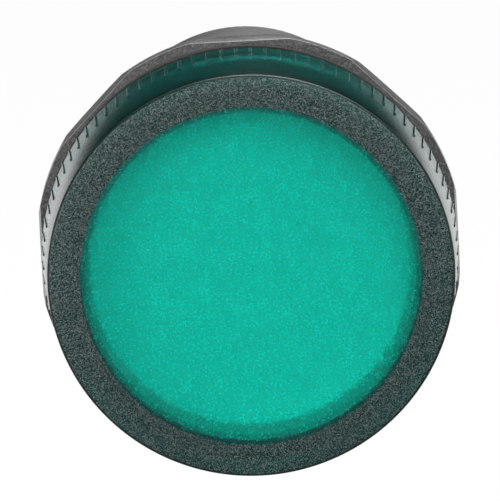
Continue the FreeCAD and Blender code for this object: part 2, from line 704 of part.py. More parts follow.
def make_terminal_block():
    """Rear insert: two open pockets, a barrier between them, and a snap bead."""
    reach = f"({BLOCK_BORE} - seat_gap)"
    bead = f"({reach} + bead_height)"
    bead_middle = "(block_length - bead_back)"
    bead_half = "(bead_length / 2 - seat_gap)"
    body = turned("terminal_block", [
        ("0", "0"),
        (reach, "0"),
        (reach, f"{bead_middle} - {bead_half}"),
        (bead, f"{bead_middle} - {bead_half} / 2"),
        (bead, f"{bead_middle} + {bead_half} / 2"),
        (reach, f"{bead_middle} + {bead_half}"),
        (reach, "block_length"),
        ("0", "block_length"),
    ])
    before = body.Shape.Volume
    past = "(block_length - block_floor + overcut)"
    well_end = "(block_floor + strip_thick + clamp_thick - screw_reach - well_end)"
    left_low = f"(0 - barrier_half - {POCKET_WIDTH})"
    for side, low in (("left", left_low), ("right", "barrier_half")):
        middle = f"{low} + {POCKET_WIDTH} / 2"
        block_feature(body, "Subtractive", f"pocket_{side}",
                      (low, "block_floor", f"0 - {POCKET_HEIGHT} / 2"),
                      (POCKET_WIDTH, past, POCKET_HEIGHT))
        rod_feature(body, "Subtractive", f"screw_well_{side}",
                    (middle, well_end, "0"), "screw_radius + well_gap", "screw_reach")
        block_feature(body, "Subtractive", f"tail_slit_{side}",
                      (f"{middle} - tail_width / 2 - seat_gap", "0 - overcut", BOARD_TOP),
                      ("tail_width + 2 * seat_gap", "block_floor + 2 * overcut",
                       "strip_thick + seat_gap"))
    notch = "(block_floor + strip_thick)"
    block_feature(body, "Subtractive", "wire_way_left",
                  (f"0 - {BODY_RADIUS}", notch, "0 - wire_slot / 2"),
                  (f"{BODY_RADIUS} - barrier_half", past, "wire_slot"))
    block_feature(body, "Subtractive", "wire_way_right",
                  ("barrier_half", notch, "0 - wire_slot / 2"),
                  (f"{BODY_RADIUS} - barrier_half", past, "wire_slot"))
    block_feature(body, "Subtractive", "board_socket",
                  (f"0 - {DRIVER_HALF} - seat_gap", "0 - overcut",
                   f"{BOARD_UNDER} - seat_gap"),
                  (f"2 * {DRIVER_HALF} + 2 * seat_gap", "socket_depth + overcut",
                   "board_thick + seat_gap"))
    check_cut(body, before, "terminal_block")
    place(body, y=BLOCK_FRONT)
    return body


def make_contact_strip(label, x):
    """Bent brass strip: a tapped plate on the pocket floor and a tail to the board."""
    wide = f"({POCKET_WIDTH} - 2 * seat_gap)"
    high = f"({POCKET_HEIGHT} - 2 * seat_gap)"
    body = new_body(label)
    block_feature(body, "Additive", f"{label}_plate",
                  (f"0 - {wide} / 2", "0", f"0 - {high} / 2"),
                  (wide, "strip_thick", high))
    block_feature(body, "Additive", f"{label}_tail",
                  ("0 - tail_width / 2", "0 - block_floor - tail_reach", BOARD_TOP),
                  ("tail_width", "block_floor + tail_reach + strip_thick", "strip_thick"))
    rod_feature(body, "Subtractive", f"{label}_tapping",
                ("0", "0 - overcut", "0"), "screw_radius + running_gap",
                "strip_thick + 2 * overcut")
    place(body, x=x, y=POCKET_FLOOR)
    return body


def make_clamp_plate(label, x):
    """Square plate, captive under the screw head, that presses on the wire."""
    body = new_body(label)
    block_feature(body, "Additive", f"{label}_plate",
                  (f"0 - {CLAMP_HALF}", "0", f"0 - {CLAMP_HALF}"),
                  (f"2 * {CLAMP_HALF}", "clamp_thick", f"2 * {CLAMP_HALF}"))
    rod_feature(body, "Subtractive", f"{label}_hole",
                ("0", "0 - overcut", "0"), "screw_radius + running_gap",
                "clamp_thick + 2 * overcut")
    top = value("clamp_thick")
    half = value(CLAMP_HALF)
    finish_edges(body, "Chamfer", f"{label}_edges", "clamp_chamfer",
                 lambda edge, middle: near(middle.y, top)
                 and (near(abs(middle.x), half) or near(abs(middle.z), half)))
    place(body, x=x, y=STRIP_BACK)
    return body


def make_terminal_screw(label, x):
    """Slotted screw with a bevelled head; its fine thread is left plain."""
    body = turned(label, [
        ("0", "0 - screw_reach"),
        ("screw_radius / 2", "0 - screw_reach"),
        ("screw_radius", "screw_radius / 2 - screw_reach"),
        ("screw_radius", "0"),
        (HEAD_RADIUS, "0"),
        (HEAD_RADIUS, "head_high"),
        ("0", "head_high"),
    ])
    top = value("head_high")
    finish_edges(body, "Chamfer", f"{label}_head_edge", "head_chamfer",
                 lambda edge, middle: near(middle.y, top))
    block_feature(body, "Subtractive", f"{label}_slot",
                  (f"0 - {HEAD_RADIUS}", "head_high - driver_slot_deep", "0 - driver_slot / 2"),
                  (f"2 * {HEAD_RADIUS}", "head_high", "driver_slot"))
    place(body, x=x, y=CLAMP_BACK)
    return body


def make_terminals():
    """The two terminals are alike, one each side of the barrier."""
    pieces = []
    for side, x in (("left", f"0 - {TERMINAL_X}"), ("right", TERMINAL_X)):
        pieces.append(make_contact_strip(f"contact_strip_{side}", x))
        pieces.append(make_clamp_plate(f"clamp_plate_{side}", x))
        pieces.append(make_terminal_screw(f"terminal_screw_{side}", x))
    return pieces


pieces = [
    make_lens_cap(),
    make_diffuser(),
    make_housing(),
    make_lens_seal(),
    make_panel_gasket(),
    make_thrust_washer(),
    make_lock_nut(),
    make_reflector(),
    make_led_board(),
    *make_leds(),
    make_driver_board(),
    make_film_capacitor(),
    make_can_capacitor(),
    make_bridge_rectifier(),
    make_resistor("series_resistor", "0 - resistor_space / 2"),
    make_resistor("bleed_resistor", "resistor_space / 2"),
    make_terminal_block(),
    *make_terminals(),
]
doc.recompute()

for item in doc.Objects:
    if "Invalid" in item.State or "Error" in item.State:
        raise RuntimeError(f"{item.Name} failed: {item.State}")
for piece in pieces:
    if piece.Shape.isNull() or not piece.Shape.isValid():
        raise RuntimeError(f"{piece.Label} has no sound shape")

os.makedirs("parts", exist_ok=True)
for piece in pieces:
    piece.Shape.exportStep(f"parts/{piece.Label}.step")
    print(piece.Label, len(piece.Shape.Solids), round(piece.Shape.Volume, 2))
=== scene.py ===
import math

import bmesh
import bpy
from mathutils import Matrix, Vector


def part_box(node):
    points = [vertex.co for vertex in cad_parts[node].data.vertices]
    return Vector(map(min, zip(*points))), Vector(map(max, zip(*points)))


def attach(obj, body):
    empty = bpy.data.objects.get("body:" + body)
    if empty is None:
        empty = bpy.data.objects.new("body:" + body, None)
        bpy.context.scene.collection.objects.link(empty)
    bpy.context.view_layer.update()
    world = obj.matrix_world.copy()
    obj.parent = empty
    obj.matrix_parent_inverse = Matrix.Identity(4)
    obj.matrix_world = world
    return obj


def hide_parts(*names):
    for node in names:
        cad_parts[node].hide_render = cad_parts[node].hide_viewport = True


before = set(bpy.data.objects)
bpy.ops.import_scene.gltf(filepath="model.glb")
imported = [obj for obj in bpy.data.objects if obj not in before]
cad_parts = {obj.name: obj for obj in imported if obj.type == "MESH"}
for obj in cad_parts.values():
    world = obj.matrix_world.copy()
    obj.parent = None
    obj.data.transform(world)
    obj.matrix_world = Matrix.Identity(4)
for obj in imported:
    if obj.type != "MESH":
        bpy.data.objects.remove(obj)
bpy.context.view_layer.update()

# Housing: one black moulding of glass-filled nylon with a matt, lightly grained skin.
# Its fine thread is cut here; drum, flange, barrel and rear body are as the frame has them.
# The drum under the lens has a painted shade: it is coloured blacker than the rest, and is a
# little glossier.

MM = 0.001
MERGE_GAP = 0.0005 * MM
BARREL_RADIUS = 10.95 * MM
DRUM_BACK = -2.6 * MM
THREAD_PITCH = 1.0 * MM
THREAD_DEPTH = 0.46 * MM
THREAD_MOUTH = 0.74 * MM
THREAD_OVERCUT = 0.08 * MM
THREAD_START = 0.7 * MM
THREAD_END = 14.2 * MM
THREAD_STEPS = 96


def clear_selection():
    """Leaves object mode with nothing selected."""
    if bpy.context.mode != "OBJECT":
        bpy.ops.object.mode_set(mode="OBJECT")
    bpy.ops.object.select_all(action="DESELECT")


def pick_up(piece):
    """Makes one object the only selected and active one."""
    clear_selection()
    piece.select_set(True)
    bpy.context.view_layer.objects.active = piece


def edit_only(piece, kind, test):
    """Enters edit mode with only the elements of one kind that pass a test selected."""
    pick_up(piece)
    bpy.ops.object.mode_set(mode="EDIT")
    bpy.ops.mesh.select_mode(type=kind)
    bpy.ops.mesh.select_all(action="DESELECT")
    mesh = bmesh.from_edit_mesh(piece.data)
    group = {"VERT": mesh.verts, "EDGE": mesh.edges, "FACE": mesh.faces}[kind]
    for element in group:
        element.select = test(element)
    mesh.select_flush_mode()
    bmesh.update_edit_mesh(piece.data)


def edit_all(piece):
    """Enters edit mode with the whole piece selected."""
    edit_only(piece, "VERT", lambda vert: True)


def finish_piece(piece, name, angle=30):
    """Puts the place into the mesh, names the piece and smooths its round stretches."""
    pick_up(piece)
    bpy.ops.object.transform_apply(location=True, rotation=True, scale=True)
    bpy.ops.object.shade_smooth_by_angle(angle=math.radians(angle))
    piece.name = name
    piece.data.name = name


def dress(piece, *materials):
    """Gives an object its materials, in order, in place of what it has."""
    piece.data.materials.clear()
    for material in materials:
        piece.data.materials.append(material)


def copy_of(node, name):
    """A merged copy of a CAD node's mesh, as a new object."""
    piece = bpy.data.objects.new(name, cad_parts[node].data.copy())
    bpy.context.collection.objects.link(piece)
    edit_all(piece)
    bpy.ops.mesh.remove_doubles(threshold=MERGE_GAP)
    bpy.ops.mesh.customdata_custom_splitnormals_clear()
    bpy.ops.object.mode_set(mode="OBJECT")
    return piece


def set_inputs(node, values):
    """Writes values on a shader node's inputs, given by name or place."""
    for socket, value in values.items():
        node.inputs[socket].default_value = value


def add_node(tree, kind, values=None, **modes):
    """Adds a shader node to a tree, in its modes and with values on its inputs."""
    node = tree.nodes.new(f"ShaderNode{kind}")
    for mode, choice in modes.items():
        setattr(node, mode, choice)
    set_inputs(node, values or {})
    return node


def join(tree, *links):
    """Links the nodes of a tree; each link is a node, its output, the next node, its input."""
    for start, output, end, socket in links:
        tree.links.new(start.outputs[output], end.inputs[socket])


def new_group(name, inputs):
    """A node group with named inputs that puts out colour, roughness and normal."""
    group = bpy.data.node_groups.new(name, "ShaderNodeTree")
    outputs = {"Colour": "Color", "Roughness": "Float", "Normal": "Vector"}
    for in_out, sockets in (("INPUT", inputs), ("OUTPUT", outputs)):
        for socket, kind in sockets.items():
            group.interface.new_socket(name=socket, in_out=in_out, socket_type=f"NodeSocket{kind}")
    return group, group.nodes.new("NodeGroupInput"), group.nodes.new("NodeGroupOutput")


def new_material(name):
    """A material, with its node tree and its shader."""
    material = bpy.data.materials.new(name)
    material.use_nodes = True
    tree = material.node_tree
    return material, tree, tree.nodes["Principled BSDF"]


def from_group(name, group, values):
    """A material that places a group with its own values, with its shader."""
    material, tree, shader = new_material(name)
    finish = add_node(tree, "Group", values, node_tree=group)
    join(
        tree,
        (finish, "Colour", shader, "Base Color"),
        (finish, "Roughness", shader, "Roughness"),
        (finish, "Normal", shader, "Normal"),
    )
    return material, shader


def skin_group():
    """Moulded skin: slow cloudiness, fine grain and a little wear of the gloss."""
    inputs = {
        "Colour": "Color",
        "Light colour": "Color",
        "Roughness": "Float",
        "Grain scale": "Float",
        "Grain height": "Float",
    }
    group, into, out = new_group("moulded_skin", inputs)
    place = add_node(group, "TexCoord")
    grain = add_node(group, "TexNoise", {"Detail": 3})
    cloud = add_node(group, "TexNoise", {"Scale": 420, "Detail": 4})
    speck = add_node(group, "MapRange", {"From Min": 0.42, "From Max": 0.72})
    both = add_node(group, "Math", operation="MULTIPLY")
    tone = add_node(group, "Mix", data_type="RGBA")
    spread = add_node(group, "MapRange", {"To Min": -0.07, "To Max": 0.09})
    gloss = add_node(group, "Math", operation="ADD")
    bump = add_node(group, "Bump", {"Distance": 0.1 * MM})
    join(
        group,
        (place, "Object", grain, "Vector"),
        (place, "Object", cloud, "Vector"),
        (into, "Grain scale", grain, "Scale"),
        (grain, "Fac", speck, "Value"),
        (speck, "Result", both, 0),
        (cloud, "Fac", both, 1),
        (both, "Value", tone, "Factor"),
        (into, "Colour", tone, "A"),
        (into, "Light colour", tone, "B"),
        (tone, "Result", out, "Colour"),
        (cloud, "Fac", spread, "Value"),
        (spread, "Result", gloss, 0),
        (into, "Roughness", gloss, 1),
        (gloss, "Value", out, "Roughness"),
        (grain, "Fac", bump, "Height"),
        (into, "Grain height", bump, "Strength"),
        (bump, "Normal", out, "Normal"),
    )
    return group


moulded_skin = skin_group()


def moulded(name, colour, light_colour, roughness, grain_scale, grain_height):
    """A plastic or rubber finish: the moulded skin with values of its own."""
    values = {
        "Colour": (*colour, 1),
        "Light colour": (*light_colour, 1),
        "Roughness": roughness,
        "Grain scale": grain_scale,
        "Grain height": grain_height,
    }
    return from_group(name, moulded_skin, values)[0]


def thread_cutter():
    """The coil that a thread die takes away: a triangle wound along the barrel."""
    clear_selection()
    bpy.ops.mesh.primitive_circle_add(vertices=3, radius=THREAD_MOUTH / 2, fill_type="NOTHING")
    coil = bpy.context.object
    over = BARREL_RADIUS + THREAD_OVERCUT
    root = BARREL_RADIUS - THREAD_DEPTH
    spots = ((0, 0, root), (0, -THREAD_MOUTH / 2, over), (0, THREAD_MOUTH / 2, over))
    for vert, spot in zip(coil.data.vertices, spots):
        vert.co = Vector(spot) + Vector((0, THREAD_START, 0))
    winding = coil.modifiers.new("winding", "SCREW")
    winding.axis = "Y"
    winding.screw_offset = THREAD_PITCH
    winding.iterations = round((THREAD_END - THREAD_START) / THREAD_PITCH)
    winding.steps = THREAD_STEPS
    winding.render_steps = THREAD_STEPS
    winding.use_smooth_shade = False
    bpy.ops.object.modifier_apply(modifier="winding")
    edit_all(coil)
    bpy.ops.mesh.fill_holes(sides=3)
    bpy.ops.mesh.normals_make_consistent(inside=False)
    bpy.ops.object.mode_set(mode="OBJECT")
    return coil


housing = copy_of("housing", "housing_moulding")
cutter = thread_cutter()
pick_up(housing)
cut = housing.modifiers.new("thread", "BOOLEAN")
cut.operation = "DIFFERENCE"
cut.solver = "EXACT"
cut.object = cutter
bpy.ops.object.modifier_apply(modifier="thread")
bpy.data.objects.remove(cutter)
finish_piece(housing, "housing_moulding")
housing_grained = moulded(
    "housing_grained", (0.06, 0.064, 0.062), (0.17, 0.18, 0.172),
    roughness=0.5, grain_scale=4200, grain_height=0.35,
)
# Painted shade: the drum under the lens is coloured blacker than the rest of the moulding.
housing_painted_shade = moulded(
    "housing_shaded", (0.04, 0.04, 0.04), (0.06, 0.06, 0.06),
    roughness=0.4, grain_scale=1500, grain_height=0.1,
)
dress(housing, housing_grained, housing_painted_shade)
# The faces in front of the drum's back take the painted shade.
for polygon in housing.data.polygons:
    polygon.material_index = 1 if polygon.center.y < DRUM_BACK else 0
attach(housing, "root")
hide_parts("housing")


def finish_node(node, material):
    """Gives a CAD node that is shown as it is one material all over."""
    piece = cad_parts[node]
    for slot in piece.material_slots:
        slot.material = material
    if not piece.material_slots:
        piece.data.materials.append(material)


# Panel gasket: a flat ring punched from brown-black rubber sheet, so it is matt all over.
# It lies loose on the barrel between the flange and the panel.

gasket_rubber = moulded(
    "gasket_rubber", (0.012, 0.01, 0.009), (0.035, 0.031, 0.029),
    roughness=0.8, grain_scale=1800, grain_height=0.4,
)
finish_node("panel_gasket", gasket_rubber)

# Lens seal: a small moulded ring of black rubber, stretched into the drum's groove.
# It fills the gap between the drum and the lens's bore.

seal_rubber = moulded(
    "seal_rubber", (0.02, 0.02, 0.02), (0.05, 0.05, 0.05),
    roughness=0.55, grain_scale=1500, grain_height=0.2,
)
finish_node("lens_seal", seal_rubber)

# Lock nut: moulded in the same nylon as the housing, a little greyer, with a painted highlight:
# its rounded edges are coloured near white.
# A real one is screwed on from behind; the washer in front of it keeps it from turning the light.

NUT_EDGE_ROUND = 0.1 * MM
NUT_EDGE_ANGLE = math.radians(35)

nut = copy_of("lock_nut", "nut_moulding")
nut_grey = moulded(
    "nut_grey", (0.055, 0.057, 0.056), (0.29, 0.3, 0.29),
    roughness=0.32, grain_scale=6500, grain_height=0.4,
)
# Painted highlight: the rounded edges are coloured near white so they read as lit lines.
nut_painted_highlight = moulded(
    "nut_painted_highlight", (0.7, 0.71, 0.7), (0.85, 0.86, 0.85),
    roughness=0.25, grain_scale=3000, grain_height=0.1,
)
dress(nut, nut_grey, nut_painted_highlight)
for polygon in nut.data.polygons:
    polygon.material_index = 0
pick_up(nut)
edge_round = nut.modifiers.new("edge_round", "BEVEL")
# The rounds that the bevel makes take the painted highlight.
edge_round.material = 1
edge_round.width = NUT_EDGE_ROUND
edge_round.segments = 3
edge_round.limit_method = "ANGLE"
edge_round.angle_limit = NUT_EDGE_ANGLE
bpy.ops.object.modifier_apply(modifier="edge_round")
finish_piece(nut, "nut_moulding", angle=40)
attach(nut, "nut")
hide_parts("lock_nut")

# Keyed washer: stamped from zinc-plated sheet steel, with the streaks of the rolls.
# Its tab runs in the keyway, so the nut can't turn the light as it is tightened.


def brushed_group():
    """Metal that has been rolled or turned: long fine streaks in tone and gloss."""
    group, into, out = new_group(
        "brushed_streaks", {"Colour": "Color", "Stain": "Color", "Roughness": "Float"})
    place = add_node(group, "TexCoord")
    stretch = add_node(group, "Mapping", {"Scale": (1, 1, 14)})
    streak = add_node(group, "TexNoise", {"Scale": 900, "Detail": 4})
    stain = add_node(group, "TexNoise", {"Scale": 600})
    tone = add_node(group, "Mix", data_type="RGBA")
    faint = add_node(group, "Math", {1: 0.5}, operation="MULTIPLY")
    spread = add_node(group, "MapRange", {"To Min": -0.1, "To Max": 0.14})
    gloss = add_node(group, "Math", operation="ADD")
    bump = add_node(group, "Bump", {"Strength": 0.12, "Distance": 0.05 * MM})
    join(
        group,
        (place, "Object", stretch, "Vector"),
        (stretch, "Vector", streak, "Vector"),
        (place, "Object", stain, "Vector"),
        (stain, "Fac", faint, 0),
        (faint, "Value", tone, "Factor"),
        (into, "Colour", tone, "A"),
        (into, "Stain", tone, "B"),
        (tone, "Result", out, "Colour"),
        (streak, "Fac", spread, "Value"),
        (spread, "Result", gloss, 0),
        (into, "Roughness", gloss, 1),
        (gloss, "Value", out, "Roughness"),
        (streak, "Fac", bump, "Height"),
        (bump, "Normal", out, "Normal"),
    )
    return group


brushed_streaks = brushed_group()


def metal(name, colour, stain, roughness):
    """A metal finish: the brushed streaks with values of its own."""
    values = {"Colour": (*colour, 1), "Stain": (*stain, 1), "Roughness": roughness}
    material, shader = from_group(name, brushed_streaks, values)
    set_inputs(shader, {"Metallic": 1})
    return material


zinc = metal("zinc_plate", (0.62, 0.62, 0.6), (0.45, 0.44, 0.4), roughness=0.34)
finish_node("thrust_washer", zinc)

# Reflector, boards and their parts: they are sealed behind the diffuser.
# White moulded cone, green laminate, yellow boxed capacitor, sleeved can and tan resistors.

reflector_white = moulded(
    "reflector_white", (0.85, 0.85, 0.84), (0.9, 0.9, 0.9),
    roughness=0.25, grain_scale=700, grain_height=0.05,
)
board_green = moulded(
    "board_green", (0.02, 0.16, 0.07), (0.05, 0.3, 0.14),
    roughness=0.3, grain_scale=900, grain_height=0.15,
)
led_white = moulded(
    "led_white", (0.85, 0.82, 0.6), (0.9, 0.88, 0.8),
    roughness=0.35, grain_scale=1200, grain_height=0.1,
)
capacitor_yellow = moulded(
    "capacitor_yellow", (0.6, 0.36, 0.03), (0.72, 0.5, 0.1),
    roughness=0.3, grain_scale=800, grain_height=0.1,
)
capacitor_can = metal("capacitor_can", (0.5, 0.52, 0.56), (0.3, 0.31, 0.33), roughness=0.3)
rectifier_black = moulded(
    "rectifier_black", (0.02, 0.02, 0.02), (0.05, 0.05, 0.05),
    roughness=0.5, grain_scale=1500, grain_height=0.3,
)
resistor_tan = moulded(
    "resistor_tan", (0.5, 0.38, 0.2), (0.62, 0.5, 0.32),
    roughness=0.4, grain_scale=1000, grain_height=0.2,
)
for node, material in (
    ("reflector", reflector_white),
    ("led_board", board_green),
    ("driver_board", board_green),
    ("dropper_capacitor", capacitor_yellow),
    ("smoothing_capacitor", capacitor_can),
    ("bridge_rectifier", rectifier_black),
    ("series_resistor", resistor_tan),
    ("bleed_resistor", resistor_tan),
):
    finish_node(node, material)
for node in sorted(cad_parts):
    if node.startswith("led_") and node != "led_board":
        finish_node(node, led_white)

# Terminal block: the black insert that closes the rear and keeps the two terminals apart.
# It is moulded in the housing's nylon and snaps into the rear body.

block_black = moulded(
    "block_black", (0.03, 0.032, 0.031), (0.08, 0.082, 0.08),
    roughness=0.5, grain_scale=2200, grain_height=0.35,
)
finish_node("terminal_block", block_black)

# Terminals: bent brass strips, zinc-plated clamp plates and slotted screws.
# Each screw is turned into its strip and carries its clamp plate down on the wire.

brass = metal("strip_brass", (0.72, 0.52, 0.22), (0.45, 0.3, 0.14), roughness=0.3)
screw_zinc = metal("screw_zinc", (0.66, 0.66, 0.63), (0.5, 0.48, 0.42), roughness=0.28)
for side in ("left", "right"):
    finish_node(f"contact_strip_{side}", brass)
    finish_node(f"clamp_plate_{side}", zinc)
    finish_node(f"terminal_screw_{side}", screw_zinc)

# Diffuser: a shallow dish of opal white plastic just behind the lens plate.
# It scatters what falls through the lens, which is why the middle of the face glows.
# Its wall and lip carry a painted shade: they are coloured greyer than the disc.

DISH_LIP = 0.1 * MM
WALL_LEAN = 0.5

dish = copy_of("diffuser", "diffuser_dish")
finish_piece(dish, "diffuser_dish", angle=40)
dish_white = moulded(
    "diffuser_white", (0.93, 0.93, 0.92), (0.96, 0.96, 0.95),
    roughness=0.6, grain_scale=2400, grain_height=0.04,
)
# Painted shade: the dish's wall and lip are coloured grey, darker than its disc.
dish_painted_shade = moulded(
    "diffuser_shaded", (0.46, 0.46, 0.45), (0.54, 0.54, 0.53),
    roughness=0.6, grain_scale=900, grain_height=0.1,
)
dress(dish, dish_white, dish_painted_shade)
dish_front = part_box("diffuser")[0][1]
# The lip and the wall take the painted shade.
for polygon in dish.data.polygons:
    on_lip = polygon.center.y < dish_front + DISH_LIP
    on_wall = abs(polygon.normal.y) < WALL_LEAN
    polygon.material_index = 1 if on_lip or on_wall else 0
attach(dish, "diffuser")
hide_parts("diffuser")

# Lens: moulded in clear green plastic and screwed over the drum. Its face has a spark-eroded
# texture that glitters, and its skirt is smooth and flares to a rim with fine grip ribs.
# Its bore is left plain, as the frame has it.

SLACK = 0.01 * MM
FACE_RADIUS = 13.97 * MM
EDGE_ROUND = 0.22 * MM
EDGE_SEGMENTS = 5
WINDOW_RADIUS = 11.4 * MM
BORDER_RADIUS = 11.75 * MM
BORE_RADIUS = 13.05 * MM
PLATE_THICK = 1.5 * MM
RIB_REACH = 14.55 * MM
RIB_LENGTH = 3.0 * MM
RIB_HEIGHT = 0.08 * MM
RIB_SLOPE = 0.08 * MM
LENS_STEPS = 360
# Degrees from rib to rib, and from a rib's place to the middle of the face that carries it.
RIB_EVERY = 4
RIB_WITHIN = 0.3
# How far a face's normal leans along the axis, past which it is on a rounded edge, or flat.
EDGE_LEAN = 0.2
FLAT_LEAN = 0.98
# Only the middle of the front face is larger than this.
DISC_AREA = 100 * MM * MM

lens_low, lens_high = (Vector(corner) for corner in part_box("lens_cap"))
face_y = lens_low.y
rim_y = lens_high.y
skirt_length = rim_y - face_y
cone_length = skirt_length - RIB_LENGTH
foot_radius = RIB_REACH - RIB_HEIGHT
rib_radius = FACE_RADIUS + (foot_radius - FACE_RADIUS) * cone_length / skirt_length


def around(point):
    """Degrees from the top, clockwise as the lens is looked at."""
    return math.degrees(math.atan2(point.x, point.z)) % 360


def widen(share):
    """Scales what is selected about the lens's axis."""
    bpy.ops.transform.resize(value=(share, 1, share), center_override=(0, 0, 0))


def push(distance):
    """Extrudes the selected face along the lens's axis."""
    bpy.ops.mesh.extrude_region_move(TRANSFORM_OT_translate={"value": (0, distance, 0)})


def is_back(face):
    """Whether a face of the plain cylinder is its rear end."""
    return face.normal.y > FLAT_LEAN


def is_face_edge(edge):
    """Whether an edge runs round the front face."""
    return all(abs(vert.co.y - face_y) < SLACK for vert in edge.verts)


def is_face(face):
    """Whether a face is the large flat one in front."""
    return face.normal.y < -FLAT_LEAN and face.calc_area() > DISC_AREA


def is_rib(face):
    """Whether a face of the skirt near the rim carries a rib."""
    middle = face.calc_center_median()
    outside = math.hypot(middle.x, middle.z) > rib_radius and abs(face.normal.y) < EDGE_LEAN
    off = around(middle) % RIB_EVERY
    return outside and middle.y > rim_y - RIB_LENGTH and min(off, RIB_EVERY - off) < RIB_WITHIN


clear_selection()
bpy.ops.mesh.primitive_cylinder_add(
    vertices=LENS_STEPS,
    radius=FACE_RADIUS,
    depth=cone_length,
    location=(0, face_y + cone_length / 2, 0),
    rotation=(math.radians(90), math.radians(180 / LENS_STEPS), 0),
)
lens = bpy.context.object
bpy.ops.object.transform_apply(location=True, rotation=True, scale=True)
edit_only(lens, "FACE", is_back)
widen(rib_radius / FACE_RADIUS)
push(RIB_LENGTH)
widen(foot_radius / rib_radius)
bpy.ops.mesh.inset(thickness=foot_radius - BORE_RADIUS)
push(PLATE_THICK - skirt_length)
edit_only(lens, "EDGE", is_face_edge)
bpy.ops.mesh.bevel(offset=EDGE_ROUND, segments=EDGE_SEGMENTS, profile=0.5, affect="EDGES")
edit_only(lens, "FACE", is_face)
bpy.ops.mesh.inset(thickness=FACE_RADIUS - EDGE_ROUND - BORDER_RADIUS)
bpy.ops.mesh.inset(thickness=BORDER_RADIUS - WINDOW_RADIUS)
edit_only(lens, "FACE", is_rib)
bpy.ops.mesh.inset(thickness=RIB_SLOPE, depth=RIB_HEIGHT, use_individual=True)
finish_piece(lens, "lens")

# Tints of the plastic at its darkest and lightest, at full strength.
DARK_TINT = (0, 0.82, 0.7)
LIGHT_TINT = (0, 1.0, 0.88)
CLEAR_IOR = 1.5
# Pits break up the surface, so less white is mirrored in it than in a polished one.
PITTED_IOR = 1.24
# The texture of the face, and the smoother one of the walls, in waves to the metre.
PITS = 5800
DRAW_MARKS = 900
FLATS_TO_PITS = 2.3


def lens_plastic(name, depth, frost, bumps, scale=PITS, squeeze=1, glitter=0, face_shade=1, clear=1,
                 ior=CLEAR_IOR):
    """Clear green plastic: depth is the strength of its tint, and bumps the texture's height.

    Frost is the least and most roughness, and squeeze draws the texture out round the axis.
    Glitter is how much the small flats between the pits shine, and face_shade is the share of the
    tint kept beside the face, a painted shade that rises to the full tint at the rim. Clear is the
    share of light that goes through, rather than being scattered.
    """
    material, tree, shader = new_material(name)
    set_inputs(shader, {
        "Transmission Weight": clear,
        "IOR": ior,
        "Coat IOR": 3.4,
        "Coat Roughness": 0.6,
    })
    place = add_node(tree, "TexCoord")
    draw_out = add_node(tree, "Mapping", {"Scale": (1, squeeze, 1)})
    pits = add_node(tree, "TexNoise", {"Scale": scale, "Detail": 2})
    tint = add_node(tree, "MapRange", {"From Min": 0.42, "From Max": 0.62})
    tints = {
        "A": (*(part * depth for part in DARK_TINT), 1),
        "B": (*(part * depth for part in LIGHT_TINT), 1),
    }
    shade = add_node(tree, "Mix", tints, data_type="RGBA")
    parts = add_node(tree, "SeparateXYZ")
    # Painted shade: the tint darkens towards the face and reaches its full strength at the rim.
    shade_ramp = add_node(tree, "MapRange", {"From Min": face_y, "From Max": rim_y, "To Min": face_shade})
    shaded_tint = add_node(tree, "Mix", {"A": (0, 0, 0, 1)}, data_type="RGBA")
    frosting = add_node(tree, "MapRange", {"To Min": frost[0], "To Max": frost[1]})
    flats = add_node(tree, "TexNoise", {"Scale": FLATS_TO_PITS * scale, "Detail": 1})
    shine = add_node(tree, "MapRange", {"From Min": 0.53, "From Max": 0.63, "To Max": glitter})
    bump = add_node(tree, "Bump", {"Strength": bumps, "Distance": 0.1 * MM})
    join(
        tree,
        (place, "Object", draw_out, "Vector"),
        (draw_out, "Vector", pits, "Vector"),
        (pits, "Fac", tint, "Value"),
        (tint, "Result", shade, "Factor"),
        (place, "Object", parts, "Vector"),
        (parts, "Y", shade_ramp, "Value"),
        (shade_ramp, "Result", shaded_tint, "Factor"),
        (shade, "Result", shaded_tint, "B"),
        (shaded_tint, "Result", shader, "Base Color"),
        (pits, "Fac", frosting, "Value"),
        (frosting, "Result", shader, "Roughness"),
        (place, "Object", flats, "Vector"),
        (flats, "Fac", shine, "Value"),
        (shine, "Result", shader, "Coat Weight"),
        (pits, "Fac", bump, "Height"),
        (bump, "Normal", shader, "Normal"),
    )
    return material


# The wall has a painted shade: its tint darkens towards the face. The border round the window
# scatters and shines more; the bore is matt.
PITTED = {"frost": (0.08, 0.4), "bumps": 0.62}
# It is one plastic, but its tint strength is painted by zone: nearly full over the window and
# plate, about half over the ring and the wall, and near black on the border, the rounded edge and
# the bore. The darker zones are painted shade.
lens_finishes = {
    "wall": lens_plastic("lens_wall", 0.4, (0.12, 0.17), 0.12, DRAW_MARKS, squeeze=9, face_shade=0.02),
    "bore": lens_plastic("lens_bore", 0.04, (0.45, 0.55), 0.3, DRAW_MARKS, squeeze=9),
    "plate": lens_plastic("lens_plate", 0.88, (0.13, 0.19), 0.03),
    "edge": lens_plastic("lens_edge", 0.02, (0.4, 0.5), 0.4, glitter=0.3),
    "border": lens_plastic("lens_border", 0.05, **PITTED, glitter=0.8, clear=0.35),
    "ring": lens_plastic("lens_ring", 0.5, **PITTED, glitter=0.1, clear=0.9, ior=PITTED_IOR),
    "window": lens_plastic("lens_window", 0.9, **PITTED, glitter=0.03, ior=PITTED_IOR),
}
finish_order = list(lens_finishes)


def lens_finish(polygon):
    """Which of the lens's finishes a face of it has."""
    spot = polygon.center
    out = math.hypot(spot.x, spot.z)
    if abs(spot.y - face_y - PLATE_THICK) < SLACK:
        return "plate"
    if polygon.normal.y > -EDGE_LEAN:
        return "bore" if out < BORE_RADIUS + SLACK else "wall"
    if polygon.normal.y > -FLAT_LEAN:
        return "edge"
    if out > BORDER_RADIUS:
        return "border"
    return "window" if polygon.area > DISC_AREA else "ring"


